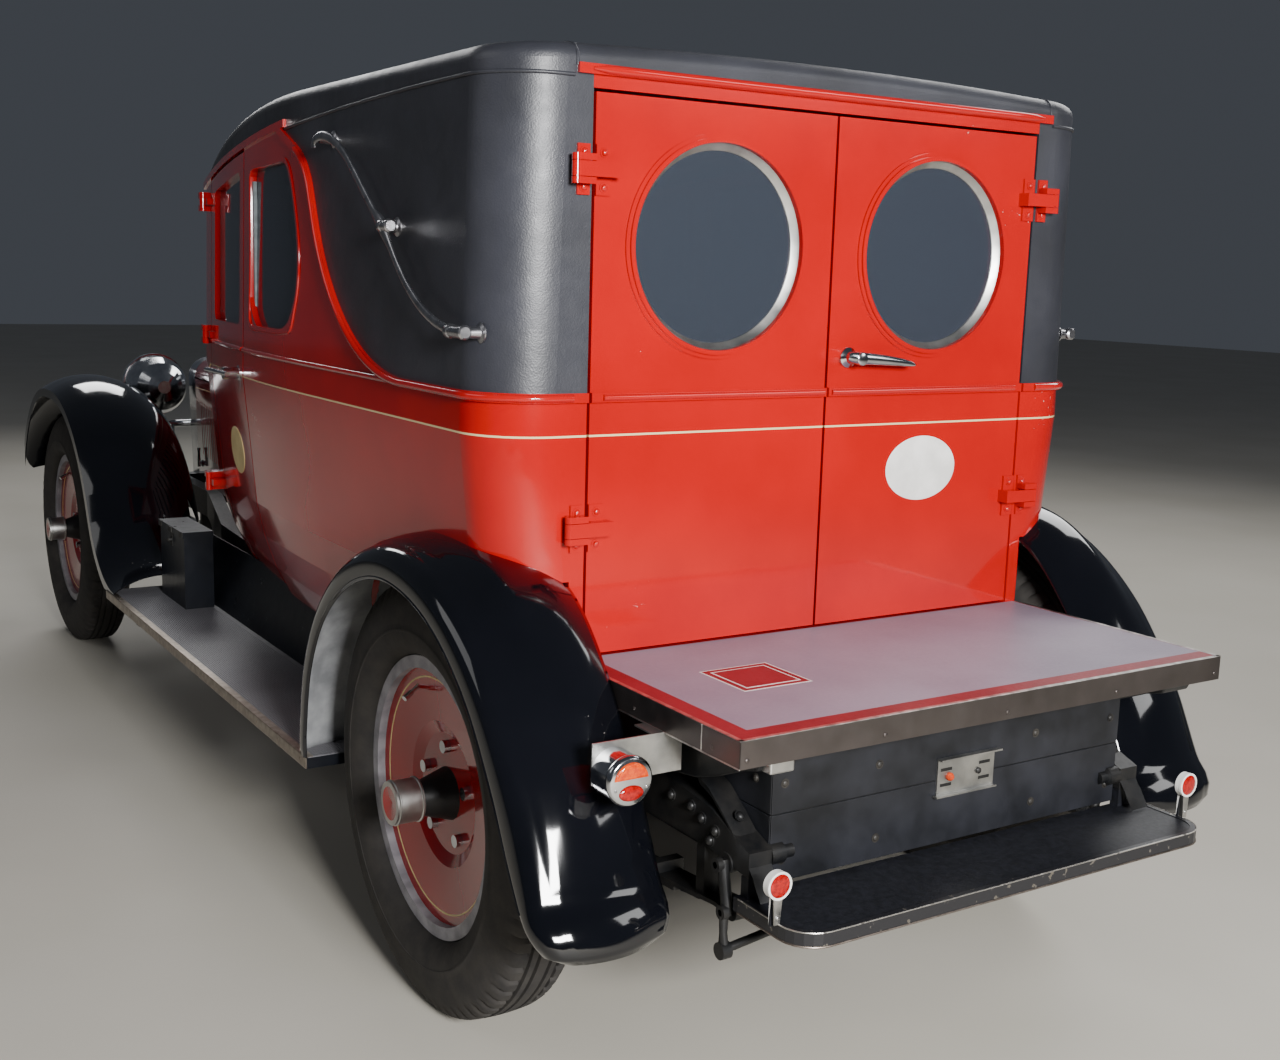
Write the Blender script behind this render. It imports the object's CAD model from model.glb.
# %% [markdown]
# # A motor hearse of the late 1920s
# The real vehicle is a coach-built body on a lorry-like frame: steel panels in red enamel, grained
# leathercloth over the roof and the rear quarters, black fenders, pressed disc wheels.
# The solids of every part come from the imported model, already in place. This notebook gives them their
# finishes and adds what is too small for the solids: bolts, tread, piping, trim and upholstery.

import math

import bmesh
import bpy
import numpy
from mathutils import Matrix, Vector
from mathutils.bvhtree import BVHTree


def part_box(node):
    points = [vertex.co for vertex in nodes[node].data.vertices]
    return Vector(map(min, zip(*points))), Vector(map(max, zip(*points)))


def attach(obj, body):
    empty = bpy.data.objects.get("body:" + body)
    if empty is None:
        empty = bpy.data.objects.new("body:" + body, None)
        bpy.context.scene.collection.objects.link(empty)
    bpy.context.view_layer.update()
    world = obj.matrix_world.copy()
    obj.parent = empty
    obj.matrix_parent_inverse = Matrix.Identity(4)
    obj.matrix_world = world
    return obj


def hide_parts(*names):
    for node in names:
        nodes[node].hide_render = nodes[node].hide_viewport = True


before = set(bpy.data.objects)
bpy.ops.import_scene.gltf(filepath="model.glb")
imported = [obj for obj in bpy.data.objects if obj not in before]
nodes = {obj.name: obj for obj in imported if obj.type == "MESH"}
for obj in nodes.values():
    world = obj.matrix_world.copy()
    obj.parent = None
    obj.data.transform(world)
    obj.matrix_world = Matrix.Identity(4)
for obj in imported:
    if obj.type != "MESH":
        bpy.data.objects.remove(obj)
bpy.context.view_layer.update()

# %% [markdown]
# ## Measuring the solids
# Every added piece takes its place from the solid that carries it, so the helper below gives a node's lowest
# and highest corner. A list of numbers typed by hand would drift away from the part when the part changes.

# %% Places that later cells share
MM = 0.001


def corners(node):
    """Lowest and highest corner of a node, in metres."""
    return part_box(node)


door_low = corners("rear_door_left")[0]
platform_low, platform_high = corners("platform")
front_low, front_high = corners("wheel_front_left")
tyre_low, tyre_high = corners("tyre_rear_left")
rear_axle_y = (tyre_low.y + tyre_high.y) / 2
front_axle_y = (front_low.y + front_high.y) / 2
tyre_radius = (tyre_high.z - tyre_low.z) / 2
half_track = -(tyre_low.x + tyre_high.x) / 2
body_rear_y = platform_high.y
BACKWARD, FORWARD = Vector((0, -1, 0)), Vector((0, 1, 0))
ACROSS, UPWARD = Vector((1, 0, 0)), Vector((0, 0, 1))
SIDES = (("left", -1), ("right", 1))
WHEELS = [
    (f"{end}_{side}", way, Vector((way * half_track, y, tyre_radius)))
    for end, y in (("front", front_axle_y), ("rear", rear_axle_y))
    for side, way in SIDES
]
print("rear axle", round(rear_axle_y, 3), "front axle", round(front_axle_y, 3), "half track", round(half_track, 3))

# %% [markdown]
# ## Colours and nodes
# Paint is matched by eye in sRGB, the numbers that a screen shows, but a renderer adds light in linear
# values. One function turns a hex code into linear values, so no material mixes the two up. A second
# function adds one shader node with its settings and links, whatever kind of node it is. Three short ones
# give the cloudy pattern, the sums and the second coats that most finishes need.


# %% Helpers for materials
def linear(code):
    """An sRGB hex code as linear red, green, blue and alpha."""
    channels = [int(code[i : i + 2], 16) / 255 for i in (1, 3, 5)]
    return [c / 12.92 if c <= 0.04045 else ((c + 0.055) / 1.055) ** 2.4 for c in channels] + [1.0]


def add_node(tree, kind, inputs=None, **settings):
    """Adds one shader node, with its properties, its fixed values and its links."""
    node = tree.nodes.new(kind)
    for name, value in settings.items():
        setattr(node, name, value)
    for name, value in (inputs or {}).items():
        if isinstance(value, bpy.types.NodeSocket):
            tree.links.new(value, node.inputs[name])
        else:
            node.inputs[name].default_value = value
    return node


def new_material(name, **values):
    """A material with its shader's fixed values set, and the tree, the shader and the place on the object."""
    material = bpy.data.materials.new(name)
    material.use_nodes = True
    tree = material.node_tree
    shader = tree.nodes["Principled BSDF"]
    for key, value in values.items():
        shader.inputs[key.replace("_", " ")].default_value = value
    place = add_node(tree, "ShaderNodeTexCoord").outputs["Object"]
    return material, tree, shader, place


def noise(tree, place, scale, detail):
    """A cloudy value from 0 to 1, with about scale clouds in a metre."""
    settings = {"Vector": place, "Scale": scale, "Detail": detail}
    return add_node(tree, "ShaderNodeTexNoise", settings).outputs["Fac"]


def maths(tree, operation, *values):
    """One sum of sockets or numbers."""
    return add_node(tree, "ShaderNodeMath", dict(enumerate(values)), operation=operation).outputs[0]


def painted_over(tree, shade, mask, code):
    """Lays a second colour over the first wherever the mask is 1."""
    mix = add_node(tree, "ShaderNodeMix", {"Factor": mask}, data_type="RGBA")
    tree.links.new(shade, mix.inputs[6])
    mix.inputs[7].default_value = linear(code)
    return mix.outputs[2]


def mottled(tree, place, grain, dark, light, detail=4.0):
    """A soft mixture of two colours, with patches about grain millimetres across."""
    ramp = add_node(tree, "ShaderNodeValToRGB", {"Fac": noise(tree, place, 1000 / grain, detail)})
    for element, position, code in zip(ramp.color_ramp.elements, (0.35, 0.65), (dark, light)):
        element.position = position
        element.color = linear(code)
    return ramp.outputs["Color"]


def bumped(tree, shader, height, distance, strength=1.0):
    """Lets a height, up to distance millimetres, tilt the surface."""
    bump = add_node(tree, "ShaderNodeBump", {"Height": height, "Distance": distance * MM, "Strength": strength})
    tree.links.new(bump.outputs["Normal"], shader.inputs["Normal"])


def rough_between(tree, shader, value, low, high):
    """Lets a value from 0 to 1 set the roughness between two limits."""
    spread = add_node(tree, "ShaderNodeMapRange", {"Value": value, "To Min": low, "To Max": high})
    tree.links.new(spread.outputs["Result"], shader.inputs["Roughness"])


print("white is", linear("#ffffff"))

# %% [markdown]
# ## Coach enamel
# The body is brushed and rubbed nitrocellulose or oil enamel under varnish: a deep red with a clear coat. The
# coat is what gives the hard window reflections, so it is a value of its own on the shader. The surface of
# hand-finished panels waves a little, and the paint has small chips to a pale primer. A cream coach line runs
# round the body at one height, so a mask on height draws it, on panels and doors alike.


# %% Red enamel
COACH_LINE_HEIGHT = 1.1985
COACH_LINE_HALF = 0.0019


def enamel(name, dark, light, rough, chips=None, coach_line=False):
    """Gloss paint under a clear coat, with faint waves and dust, and where asked chips and a coach line."""
    material, tree, shader, place = new_material(
        name, Roughness=rough, Coat_Weight=0.8, Coat_Roughness=0.06, Specular_IOR_Level=0.25
    )
    shade = mottled(tree, place, 260, dark, light)
    if chips:
        both = maths(tree, "MULTIPLY", noise(tree, place, 120.0, 4.0), noise(tree, place, 4.0, 1.0))
        shade = painted_over(tree, shade, maths(tree, "GREATER_THAN", both, 0.49), chips)
    if coach_line:
        height = add_node(tree, "ShaderNodeSeparateXYZ", {"Vector": place}).outputs["Z"]
        line = maths(tree, "COMPARE", height, COACH_LINE_HEIGHT, COACH_LINE_HALF)
        shade = painted_over(tree, shade, line, "#e3cf9a")
    tree.links.new(shade, shader.inputs["Base Color"])
    rough_between(tree, shader, noise(tree, place, 9.0, 8.0), max(rough - 0.06, 0.03), rough + 0.06)
    bumped(tree, shader, noise(tree, place, 5.0, 1.0), 0.5, 0.35)
    return material


red_enamel = enamel("red_coach_enamel", "#a3080a", "#b00b0c", 0.16, chips="#c9a79c", coach_line=True)
red_plain = enamel("red_moulding_enamel", "#a3080a", "#b00b0c", 0.16)
black_enamel = enamel("black_fender_enamel", "#06070b", "#0a0b10", 0.1, chips="#6d6a66")
print(red_enamel.name, red_plain.name, black_enamel.name)

# %% [markdown]
# ## Leathercloth
# The roof and the quarters are covered in cotton cloth coated with black nitrocellulose and rolled with a
# leather grain. The grain is a net of low cells about 2 mm across. Real grain is finer than the render can
# show, so it is drawn a little coarser. The coat is half matt and has gone grey, which the eye reads as a
# broad soft highlight, so the sheen stays low and the roughness near a half.


# %% Black leathercloth
def leathercloth(name, dark, light, rough, grain=3.0):
    """Coated cloth with a rolled leather grain, cells grain millimetres across."""
    material, tree, shader, place = new_material(name, Roughness=rough, Specular_IOR_Level=0.55)
    tree.links.new(mottled(tree, place, 300, dark, light, 6.0), shader.inputs["Base Color"])
    cells = add_node(tree, "ShaderNodeTexVoronoi", {"Vector": place, "Scale": 1000 / grain}, feature="SMOOTH_F1")
    creases = noise(tree, place, 28.0, 3.0)
    bumped(tree, shader, maths(tree, "MULTIPLY_ADD", creases, 2.5, cells.outputs["Distance"]), 0.5, 0.5)
    rough_between(tree, shader, creases, rough - 0.1, rough + 0.1)
    return material


black_leathercloth = leathercloth("black_leathercloth", "#24252a", "#34353c", 0.42)
seat_leather = leathercloth("brown_seat_leather", "#2b1c15", "#3d281d", 0.5, 4.0)
print(black_leathercloth.name, seat_leather.name)

# %% [markdown]
# ## Metals and rubber
# Handles, lamps and landau irons are nickel or chromium plate: fully metallic, with fine wear in the
# roughness. Hub caps are dull aluminium. Tyres are dusty black rubber, nearly matt, and greyer on the
# walls. The frame is brushed black paint under road dirt.


# %% Metals, rubber and dirt
def metal(name, dark, light, rough, grain=60, bump=0.1):
    """Bare or plated metal with stains that change its colour and its shine."""
    material, tree, shader, place = new_material(name, Metallic=1.0, Roughness=rough)
    tree.links.new(mottled(tree, place, grain, dark, light, 6.0), shader.inputs["Base Color"])
    stains = noise(tree, place, 35.0, 8.0)
    rough_between(tree, shader, stains, max(rough - 0.08, 0.02), rough + 0.14)
    bumped(tree, shader, stains, bump, 0.4)
    return material


def matt(name, dark, light, rough, grain=40, bump=0.3, bump_scale=120.0):
    """Matt or dirty surface with fine relief."""
    material, tree, shader, place = new_material(name, Roughness=rough, Specular_IOR_Level=0.35)
    tree.links.new(mottled(tree, place, grain, dark, light, 6.0), shader.inputs["Base Color"])
    relief = noise(tree, place, bump_scale, 6.0)
    bumped(tree, shader, relief, bump, 0.6)
    rough_between(tree, shader, relief, rough - 0.08, rough + 0.1)
    return material


bright_plate = metal("nickel_plate", "#b9bbbf", "#d9dadc", 0.12)
dull_aluminium = metal("dull_aluminium", "#9a9a98", "#c2c1bd", 0.34)
dark_metal = metal("tarnished_angle", "#5b5553", "#6f6866", 0.36, 160, 0.03)
grey_metal = matt("bare_grey_steel", "#6d6e6f", "#8f9090", 0.5)
frame_black = matt("black_frame_paint", "#0d0e10", "#1d1c1b", 0.45)
iron_oily = matt("oily_cast_iron", "#191817", "#33302c", 0.5)
tyre_rubber = matt("dusty_tyre_rubber", "#2a2827", "#35322f", 0.82)
board_mat = matt("ribbed_board_mat", "#3e3e41", "#5b5a5b", 0.6)
lino = matt("grey_linoleum", "#86808f", "#938d9c", 0.4, 220, 0.08)
maroon_strip = matt("maroon_edging", "#7c131d", "#8d1c27", 0.4, 90, 0.1)
white_paint = matt("white_paint", "#d9d7d2", "#efede9", 0.4, 60, 0.05)
cream_paint = matt("cream_paint", "#c9b27a", "#dcc78f", 0.4, 60, 0.05)
step_paint = matt("worn_step_paint", "#131418", "#1c1d23", 0.45, 12, 0.4)
floor_boards = matt("worn_floor_boards", "#3a2c22", "#59473a", 0.7)
hard_rubber = matt("hard_rubber", "#0b0b0c", "#151516", 0.3)
core_fins = matt("radiator_fins", "#121212", "#2c2b29", 0.5)
print("metals and rubber made")

# %% [markdown]
# ## Glass
# The panes are plain sheet glass in front of a dark load space. From outside they read as dark mirrors. A
# thin pane needs little bending of light, so transmission with a faint smoky tint is enough.


# %% Window glass and lenses
def clear_glass(name, tint, rough=0.02):
    """Sheet glass with faint streaks of dust."""
    material, tree, shader, place = new_material(
        name, Roughness=rough, Transmission_Weight=0.74, IOR=1.5, Base_Color=linear(tint)
    )
    rough_between(tree, shader, noise(tree, place, 12.0, 8.0), rough, rough + 0.08)
    return material


window_glass = clear_glass("window_glass", "#5a6270")


def lens(name, dark, light):
    """Moulded coloured glass over a reflector."""
    material, tree, shader, place = new_material(
        name, Roughness=0.15, Coat_Weight=0.5, Coat_Roughness=0.04, Specular_IOR_Level=0.3
    )
    tree.links.new(mottled(tree, place, 6, dark, light), shader.inputs["Base Color"])
    cells = add_node(tree, "ShaderNodeTexVoronoi", {"Vector": place, "Scale": 260.0}, feature="F1")
    bumped(tree, shader, cells.outputs["Distance"], 0.8, 0.7)
    return material


amber_lens = lens("amber_lens", "#b43000", "#d24c00")
red_lens = lens("red_lens", "#780000", "#a30202")
print(window_glass.name, amber_lens.name, red_lens.name)

# %% [markdown]
# ## Finishes on the solids
# Most solids have one finish. A table gives it for each node, and a loop puts it on. The wheels and the lamps
# have several finishes on one solid, so those are chosen face by face, from how far a face lies from the
# axle's line and how far out it is.

# %% One finish for each node
finish_table = {
    red_enamel: ["body_shell", "front_door_left", "front_door_right", "rear_door_left", "rear_door_right"],
    red_plain: ["body_trim", "cowl", "hood_left", "hood_right", "hood_sides"],
    black_enamel: ["front_fenders", "rear_fenders"],
    black_leathercloth: ["roof", "quarters"],
    frame_black: ["chassis", "axles", "knuckle_left", "knuckle_right", "steering_column", "tail_box"],
    bright_plate: ["radiator_shell", "headlamps", "landau_irons", "rear_door_handle"],
    iron_oily: ["engine"],
    core_fins: ["radiator_core"],
    board_mat: ["running_boards"],
    dark_metal: ["platform"],
    step_paint: ["tail_fittings"],
    floor_boards: ["floor"],
    seat_leather: ["seat"],
    hard_rubber: ["steering_wheel"],
    window_glass: ["fixed_glass"]
    + [f"{place}_glass_{side}" for place in ("front", "rear") for side in ("left", "right")],
    tyre_rubber: [f"tyre_{place}_{side}" for place in ("front", "rear") for side in ("left", "right")],
}


def finish(node, *materials):
    """Puts one or more materials on a node, the first of them everywhere."""
    mesh = nodes[node].data
    mesh.materials.clear()
    for material in materials:
        mesh.materials.append(material)
    for face in mesh.polygons:
        face.material_index = 0
    return mesh


for material, names in finish_table.items():
    for name in names:
        finish(name, material)
print("finished", sum(len(names) for names in finish_table.values()), "nodes")

# %% Several finishes on each wheel
RIM_FROM = 0.259
HUB_TO = 0.0575
HUB_FACE = 0.004
CAP_FROM = 0.0795
CAP_DISH = 0.036
NUTS = (0.0865, 0.1135)
NUT_FACE = 0.0105


def wheel_finish(face, centre, outwards):
    """Which finish a face of a wheel has: 0 red disc, 1 grey rim, 2 black hub, 3 aluminium cap, 4 nut."""
    away = math.hypot(face.center.y - centre.y, face.center.z - centre.z)
    out = (face.center.x - centre.x) * outwards
    if out > CAP_FROM:
        return 3 if away > CAP_DISH else 0
    if away > RIM_FROM:
        return 1
    if NUTS[0] < away < NUTS[1] and out > NUT_FACE:
        return 4
    if away < HUB_TO or out < HUB_FACE:
        return 2
    return 0


red_wheel = enamel("red_wheel_enamel", "#8a0609", "#94080b", 0.14)
rim_grey = matt("grey_rim_paint", "#77757a", "#98959a", 0.45)
for wheel, way, centre in WHEELS:
    mesh = finish(f"wheel_{wheel}", red_wheel, rim_grey, frame_black, dull_aluminium, bright_plate)
    for face in mesh.polygons:
        face.material_index = wheel_finish(face, centre, way)
print("wheels finished")

# %% [markdown]
# ## Making pieces
# A small part of a vehicle is nearly always one of four things: something turned, such as a cap or a lens
# ring, a bar or cord that follows a line, a plate with rounded edges, or a fastener. Each has one function
# below, so every later cell only says where a piece goes and how large it is. Each piece is given to the
# body that carries it, so it moves when a door opens or a wheel turns. Two short functions, bridged and
# woven, join rows of points with faces for the others.


# %% Helpers for meshes
def new_piece(name, mesh_maker, material, body, smooth=True, bevel=0.0):
    """Makes an object from a bmesh, with its finish, and lets it ride on a body."""
    mesh = bpy.data.meshes.new(name)
    bmesh.ops.recalc_face_normals(mesh_maker, faces=mesh_maker.faces)
    mesh_maker.to_mesh(mesh)
    mesh_maker.free()
    for face in mesh.polygons:
        face.use_smooth = smooth
    made = bpy.data.objects.new(name, mesh)
    bpy.context.scene.collection.objects.link(made)
    for each in material if isinstance(material, (list, tuple)) else [material]:
        mesh.materials.append(each)
    if smooth:
        sharp = made.modifiers.new("sharp edges", "EDGE_SPLIT")
        sharp.split_angle = math.radians(38)
    if bevel:
        rounding = made.modifiers.new("rounded edges", "BEVEL")
        rounding.width = bevel
        rounding.segments = 2
        rounding.limit_method = "ANGLE"
    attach(made, body)
    return made


def bridged(maker, rings, material_index=0, capped=True):
    """Joins rings of points, each to the next, and closes both ends where capped."""
    faces = [
        [low[k], low[(k + 1) % len(low)], high[(k + 1) % len(low)], high[k]]
        for low, high in zip(rings, rings[1:])
        for k in range(len(low))
    ]
    if capped:
        faces += [rings[0], list(reversed(rings[-1]))]
    for face in faces:
        maker.faces.new(face).material_index = material_index
    return maker


def woven(maker, rows):
    """Joins rows of points into one open sheet."""
    for low, high in zip(rows, rows[1:]):
        for a, b, c, d in zip(low, low[1:], high[1:], high):
            maker.faces.new([a, b, c, d])
    return maker


def turned(maker, profile, place, axis, segments=48, material_index=0):
    """Adds a turned form: profile gives places along the axis and radii, in metres."""
    way = Vector(axis).normalized()
    across = way.orthogonal().normalized()
    other = way.cross(across)
    place = Vector(place)
    angles = [2 * math.pi * i / segments for i in range(segments)]
    rings = []
    for along, radius in profile:
        centre = place + way * along
        if radius < 1e-6:
            rings.append([maker.verts.new(centre)])
            continue
        rings.append(
            [
                maker.verts.new(centre + radius * math.cos(a) * across + radius * math.sin(a) * other)
                for a in angles
            ]
        )
    for low, high in zip(rings, rings[1:]):
        for i in range(segments):
            j = (i + 1) % segments
            quad = [low[i % len(low)], low[j % len(low)], high[j % len(high)], high[i % len(high)]]
            corners_used = list(dict.fromkeys(quad))
            if len(corners_used) > 2:
                maker.faces.new(corners_used).material_index = material_index
    return maker


def followed(maker, points, radii, sides=12, flat=1.0, up=(0, 0, 1)):
    """Adds a bar along points, with a radius at each, flattened along up where asked."""
    points = [Vector(p) for p in points]
    if not isinstance(radii, (list, tuple)):
        radii = [radii] * len(points)
    angles = [2 * math.pi * k / sides for k in range(sides)]
    rings = []
    for i, (point, radius) in enumerate(zip(points, radii)):
        way = (points[min(i + 1, len(points) - 1)] - points[max(i - 1, 0)]).normalized()
        side = way.cross(Vector(up))
        side = side.normalized() if side.length > 1e-4 else way.orthogonal().normalized()
        top = side.cross(way)
        rings.append(
            [
                maker.verts.new(point + radius * math.cos(a) * side + radius * flat * math.sin(a) * top)
                for a in angles
            ]
        )
    return bridged(maker, rings)


def plate(maker, low, high, material_index=0):
    """Adds a block between two corners; the bevel comes with the piece."""
    low, high = Vector(low), Vector(high)
    made = bmesh.ops.create_cube(maker, size=1.0)["verts"]
    bmesh.ops.scale(maker, vec=high - low, verts=made)
    bmesh.ops.translate(maker, vec=(low + high) / 2, verts=made)
    for face in {face for vert in made for face in vert.link_faces}:
        face.material_index = material_index
    return maker


def dome_bolt(maker, place, axis, radius=0.009, height=0.007, washer=0.003, material_index=0):
    """Adds a domed bolt head on a small round pad."""
    profile = [(0, radius * 1.35), (washer, radius * 1.35), (washer, radius)]
    for angle in (20, 40, 60, 78):
        turn = math.radians(angle)
        profile.append((washer + height * math.sin(turn), radius * math.cos(turn)))
    profile.append((washer + height, 0))
    return turned(maker, profile, place, axis, 16, material_index)


surfaces = {}


def surface_hit(node, start, way):
    """Where a straight line first meets a node, or None."""
    if node not in surfaces:
        mesh = nodes[node].data
        surfaces[node] = BVHTree.FromPolygons(
            [v.co for v in mesh.vertices], [tuple(p.vertices) for p in mesh.polygons]
        )
    return surfaces[node].ray_cast(Vector(start), Vector(way).normalized())[0]


print("helpers ready")

# %% [markdown]
# ## Tyres
# The tyre in the picture is a plain black cord tyre: a rounded wall with a thin raised ring, and a tread of
# blocks that wrap over the shoulder, cut by grooves round the middle. The solid is smooth, so a new mesh takes
# its place. Its section is turned in many steps, and where a groove runs, the points move in by the groove's
# depth. That costs fewer faces than cutting blocks, and leaves clean shading.

# %% Tread and walls
TREAD_STEPS = 360
GROOVE_DEPTH = 0.007
BLOCKS_EVERY = 5
SECTION_HALF_WIDTH = 0.0884
TYRE_HALF_WIDTH = (tyre_high.x - tyre_low.x) / 2


def tyre_section():
    """Half a tyre's section: how far across, radius, and whether it is a groove round the tyre."""
    section = [(0.0, 0.4452, "rib"), (0.010, 0.4450, "rib"), (0.0115, 0.4378, "groove")]
    section += [(0.0165, 0.4377, "groove"), (0.018, 0.4447, "rib"), (0.029, 0.4440, "rib")]
    section += [(0.0305, 0.4368, "groove"), (0.0355, 0.4365, "groove")]
    section += [(0.037, 0.4434, "block"), (0.047, 0.4424, "block")]
    section += [(0.0555, 0.4400, "block"), (0.0625, 0.4335, "block"), (0.0695, 0.4225, "block")]
    section += [(0.0745, 0.4105, "end"), (0.0795, 0.3960, "wall"), (0.0840, 0.3770, "wall")]
    section += [(0.0868, 0.3570, "wall"), (0.0876, 0.3450, "wall"), (0.0884, 0.3440, "ring")]
    section += [(0.0884, 0.3400, "ring"), (0.0870, 0.3390, "wall"), (0.0850, 0.3270, "wall")]
    section += [(0.0800, 0.3120, "wall"), (0.0720, 0.3000, "wall"), (0.0640, 0.2935, "wall")]
    section += [(0.0560, 0.2905, "wall"), (0.0480, 0.2895, "wall")]
    return section


def tyre_mesh(centre):
    """One tyre with its tread, turned about a line across the vehicle."""
    maker = bmesh.new()
    half = tyre_section()
    section = [(-a, r, kind) for a, r, kind in reversed(half[1:])] + half
    scale = TYRE_HALF_WIDTH / SECTION_HALF_WIDTH
    rings = []
    for step in range(TREAD_STEPS):
        turn = 2 * math.pi * step / TREAD_STEPS
        ring = []
        for across, radius, kind in section:
            lead = 1 if across > 0 else 3
            cut = kind == "block" and (step + lead) % BLOCKS_EVERY == 0
            reach = radius - (GROOVE_DEPTH if cut else 0)
            ring.append(Vector((across * scale, reach * math.sin(turn), reach * math.cos(turn))))
        rings.append([maker.verts.new(centre + place) for place in ring])
    return woven(maker, rings + rings[:1])


for wheel, _, _ in WHEELS:
    low, high = corners(f"tyre_{wheel}")
    tread = tyre_mesh((low + high) / 2)
    made = new_piece(f"tread_{wheel}", tread, tyre_rubber, f"wheel_{wheel}")
    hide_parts(f"tyre_{wheel}")
print("four tyres, half width", round(TYRE_HALF_WIDTH, 4))

# %% [markdown]
# ## Wheel trim
# A cream line is painted round each red disc, close to the rim, and a valve stem stands out of it. The line
# is brush width, 3 mm, so it is a thin ring that lies on the disc. The hub's nuts are already in the solid.

# %% Lines, valves and hub rings
CREAM_LINE = [(0.0343, 0.2400), (0.0356, 0.2402), (0.0360, 0.2432), (0.0352, 0.2434)]
CAP_RING_RADIUS = 0.0462
CAP_RING_PLACES = (0.0800, 0.1290)
for wheel, way, centre in WHEELS:
    body, axis = f"wheel_{wheel}", (way, 0, 0)
    line = turned(bmesh.new(), CREAM_LINE, centre, axis, 96)
    new_piece(f"cream_line_{wheel}", line, cream_paint, body)
    stem = centre + Vector((way * 0.030, 0.10, 0.205))
    tip = stem + Vector((way * 0.034, -0.012, -0.018))
    valve = followed(bmesh.new(), [stem, stem.lerp(tip, 0.5), tip], [0.005, 0.0042, 0.0042])
    followed(valve, [stem.lerp(tip, 0.6), tip + (tip - stem) * 0.15], 0.0062)
    new_piece(f"valve_{wheel}", valve, bright_plate, body)
    rings = bmesh.new()
    for along in CAP_RING_PLACES:
        inner = CAP_RING_RADIUS - 0.003
        profile = [(along - 0.002, inner), (along, CAP_RING_RADIUS), (along + 0.003, CAP_RING_RADIUS)]
        turned(rings, profile + [(along + 0.005, inner)], centre, axis, 48)
    new_piece(f"hub_cap_rings_{wheel}", rings, dull_aluminium, body)
print("wheel trim on four wheels")

# %% [markdown]
# ## Loading platform
# Behind the doors stands a wooden platform, where the load is set down before it is slid in. Its top is grey
# linoleum, with maroon strips laid in along the open edges and a small framed square, and a rolled steel angle
# guards the edge. The solid is the board itself. Thin sheets lie on it, each 0.2 mm above the last, and the angle
# is an upright leaf with a lip. Flat paint on one sheet would lose the small steps that catch the light.


# %% Linoleum, strips and steel angle
def at(across, ahead, height):
    """A place by its distance across, ahead of the rear axle, and its height, in metres."""
    return Vector((across, rear_axle_y + ahead, height))


worn_lip = metal("worn_steel_lip", "#8f8b88", "#cfccc7", 0.3, 25)
LIP, LIP_RISE = 0.007, 0.0016
LEAF, LEAF_DROP = 0.002, 0.047
STRIP = 0.036
SCREW = (0.004, 0.0012, 0.0004)
left, right = platform_low.x, platform_high.x
rear, top = platform_low.y, platform_high.z
sheet_end, angle_end = platform_high.y - 0.002, platform_high.y - 0.004
sheet = plate(bmesh.new(), (left + LIP, rear + LIP, top), (right - LIP, sheet_end, top + 0.0010))
new_piece("platform_linoleum", sheet, lino, "body", smooth=False)
strip_end = left + LIP + STRIP
strips = plate(bmesh.new(), (left + LIP, rear + LIP, top + 0.0002), (strip_end, sheet_end, top + 0.0012))
plate(strips, (strip_end, rear + LIP, top + 0.0002), (right - LIP, rear + LIP + STRIP, top + 0.0012))
new_piece("platform_strips", strips, maroon_strip, "body", smooth=False)
square = at(-0.345, -0.518, top)
inlay = bmesh.new()
for half_x, half_y, lift, index in (
    (0.077, 0.072, 0.0012, 1),
    (0.0735, 0.0685, 0.0014, 0),
    (0.0620, 0.0570, 0.0016, 1),
    (0.0585, 0.0535, 0.0018, 0),
):
    corner = Vector((half_x, half_y, 0))
    plate(inlay, square - corner, square + corner + Vector((0, 0, lift)), index)
new_piece("platform_square", inlay, [maroon_strip, white_paint], "body", smooth=False)
angle = bmesh.new()
outer_left, outer_right, outer_rear = left - LEAF, right + LEAF, rear - LEAF
for low, high in (
    ((outer_left, outer_rear), (left, angle_end)),
    ((right, outer_rear), (outer_right, angle_end)),
    ((outer_left, outer_rear), (outer_right, rear)),
):
    plate(angle, (*low, top - LEAF_DROP), (*high, top))
for low, high in (
    ((outer_left, outer_rear), (left + LIP, angle_end)),
    ((right - LIP, outer_rear), (outer_right, angle_end)),
    ((outer_left, outer_rear), (outer_right, rear + LIP)),
):
    plate(angle, (*low, top), (*high, top + LIP_RISE), 1)
for start, stop, low_z, high_z in (
    (outer_rear, angle_end, top - 0.0475, top - 0.0445),
    (rear_axle_y - 0.711, rear_axle_y - 0.709, top - 0.046, top),
    (rear_axle_y - 0.404, rear_axle_y - 0.402, top - 0.046, top),
):
    plate(angle, (outer_left - 0.0006, start, low_z), (left, stop, high_z), 1)
new_piece("platform_angle", angle, [dark_metal, worn_lip], "body", smooth=False, bevel=0.0006)
screws = bmesh.new()
for x in (-0.582, -0.291, 0.0, 0.291, 0.582):
    dome_bolt(screws, (x, outer_rear, top - 0.033), BACKWARD, *SCREW)
for ahead in (-0.74, -0.50, -0.30):
    for x, way in ((outer_left, -1), (outer_right, 1)):
        dome_bolt(screws, at(x, ahead, top - 0.030), (way, 0, 0), *SCREW)
new_piece("platform_screws", screws, dark_metal, "body")
block = plate(bmesh.new(), (-0.530, rear + 0.004, 0.705), (-0.480, rear + 0.050, 0.7278))
new_piece("platform_alloy_block", block, dull_aluminium, "body", smooth=False, bevel=0.003)
print("platform: lip", LIP, "strip", STRIP)

# %% [markdown]
# ## Forms that sweep a section
# An edging, a bent bracket or a curved knee is one flat section carried along a path. Two helpers make them: one
# sweeps a section through a list of stations, the other cuts a plate to an outline. A third one domes an outline,
# which gives lenses and reflectors.


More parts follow.
